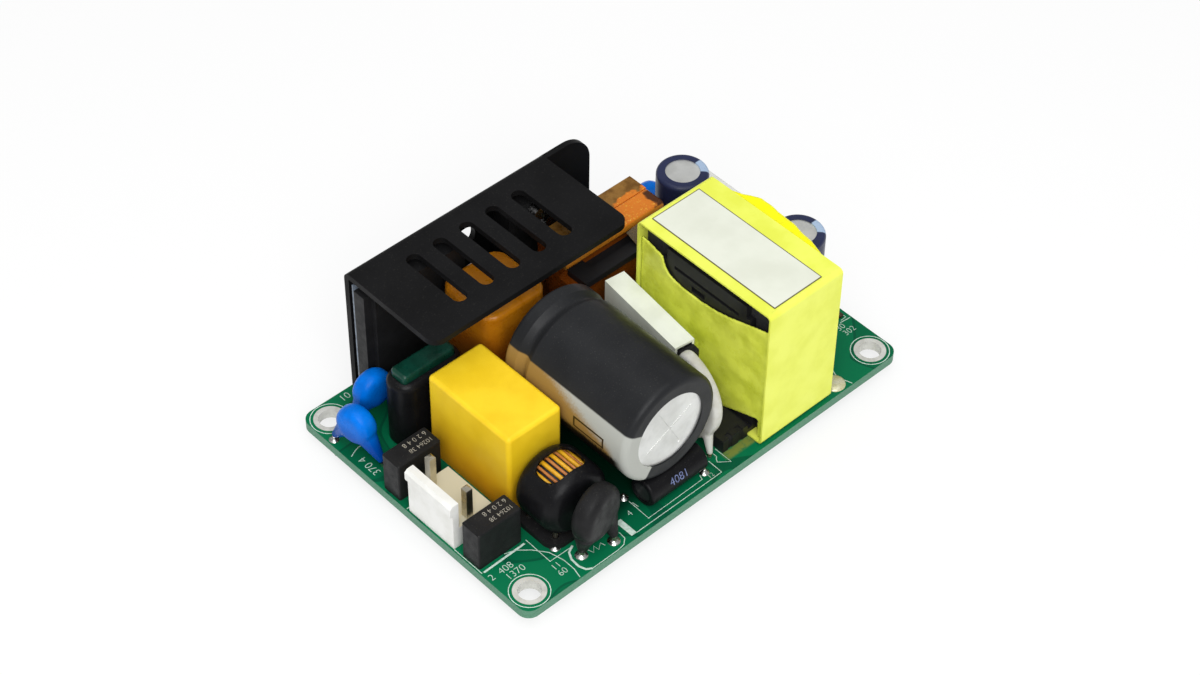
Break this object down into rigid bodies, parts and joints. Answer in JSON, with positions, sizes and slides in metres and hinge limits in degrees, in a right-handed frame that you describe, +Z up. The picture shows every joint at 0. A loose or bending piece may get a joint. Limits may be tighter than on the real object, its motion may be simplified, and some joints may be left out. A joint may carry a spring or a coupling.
{
  "type": "open frame power supply module",
  "caption": "Open frame mains power supply board with a folded black heatsink, a taped transformer, a lying storage capacitor and pin headers at both ends.",
  "frame": {"origin": "centre of the four mounting holes, on the underside of the circuit board", "axes": "+Z up, away from the board on the part side; +X along the board's long edge from the mains input header to the output header; +Y across the board towards the heatsink wall"},
  "size_m": [0.0767, 0.0508, 0.0305],
  "materials": {
    "aluminium_can": "drawn aluminium, satin",
    "amber_tape": "amber polyimide tape, glossy",
    "black_metal": "satin black coating on folded sheet",
    "black_moulding": "black moulded resin, matte",
    "black_sleeve": "heat shrunk sleeve, half matte",
    "blue_coating": "blue dipped epoxy, glossy",
    "board": "green solder mask over glass laminate, glossy",
    "bright_metal": "bright tin",
    "clear_film": "thin insulating film",
    "copper_winding": "lacquered copper and yellow wire",
    "ferrite": "dark pressed ferrite",
    "green_coating": "green epoxy, glossy",
    "navy_sleeve": "heat shrunk sleeve, glossy",
    "paper_label": "blank white paper label",
    "solder": "soft solder",
    "steel_screw": "plated steel",
    "thermal_pad": "grey silicone pad",
    "white_coating": "cream white dipped coating",
    "white_cover": "white glass and silicone sheet",
    "white_plastic": "white moulded nylon",
    "yellow_box": "warm yellow moulded box, satin",
    "yellow_tape": "yellow polyester tape"
  },
  "bodies": {
    "root": {"ac_input_header": "white_plastic", "ac_input_pins": "bright_metal", "amber_choke_base": "black_moulding", "amber_choke_tape": "amber_tape", "bar_choke_core": "green_coating", "bar_choke_leads": "bright_metal", "bar_choke_sleeve": "black_sleeve", "boost_choke_base": "black_moulding", "boost_choke_core": "black_moulding", "boost_choke_film": "amber_tape", "boost_choke_tape": "amber_tape", "bridge_leads": "bright_metal", "bridge_rectifier": "black_moulding", "circuit_board": "board", "control_capacitor_can": "aluminium_can", "control_capacitor_leads": "bright_metal", "control_capacitor_sleeve": "black_sleeve", "dc_output_header": "white_plastic", "dc_output_pins": "bright_metal", "fuses": "black_moulding", "heatsink": "black_metal", "inrush_thermistor": "black_moulding", "inrush_thermistor_leads": "bright_metal", "insulating_film": "clear_film", "mounting_hole_platings": "bright_metal", "output_capacitor_cans": "aluminium_can", "output_capacitor_leads": "bright_metal", "output_capacitor_sleeves": "navy_sleeve", "plate_cover": "white_cover", "ring_choke_base": "black_moulding", "ring_choke_core": "ferrite", "ring_choke_leads": "bright_metal", "ring_choke_sleeve": "black_sleeve", "ring_choke_winding": "copper_winding", "safety_capacitor_leads": "bright_metal", "safety_capacitors": "blue_coating", "sleeved_thermistor": "white_coating", "sleeved_thermistor_leads": "bright_metal", "solder_joints": "solder", "storage_capacitor_bung": "black_moulding", "storage_capacitor_can": "aluminium_can", "storage_capacitor_leads": "bright_metal", "storage_capacitor_sleeve": "black_sleeve", "suppression_capacitor": "yellow_box", "switching_transistor": "black_moulding", "thermal_pad": "thermal_pad", "transformer_band": "yellow_tape", "transformer_bobbin": "black_moulding", "transformer_core": "ferrite", "transformer_label": "paper_label", "transformer_side_tape": "yellow_tape", "transformer_tape_fold": "yellow_tape", "transformer_winding": "yellow_tape", "transistor_leads": "bright_metal", "transistor_screw": "steel_screw", "underside_chips": "black_moulding", "upright_plate": "black_moulding"}
  },
  "joints": []
}
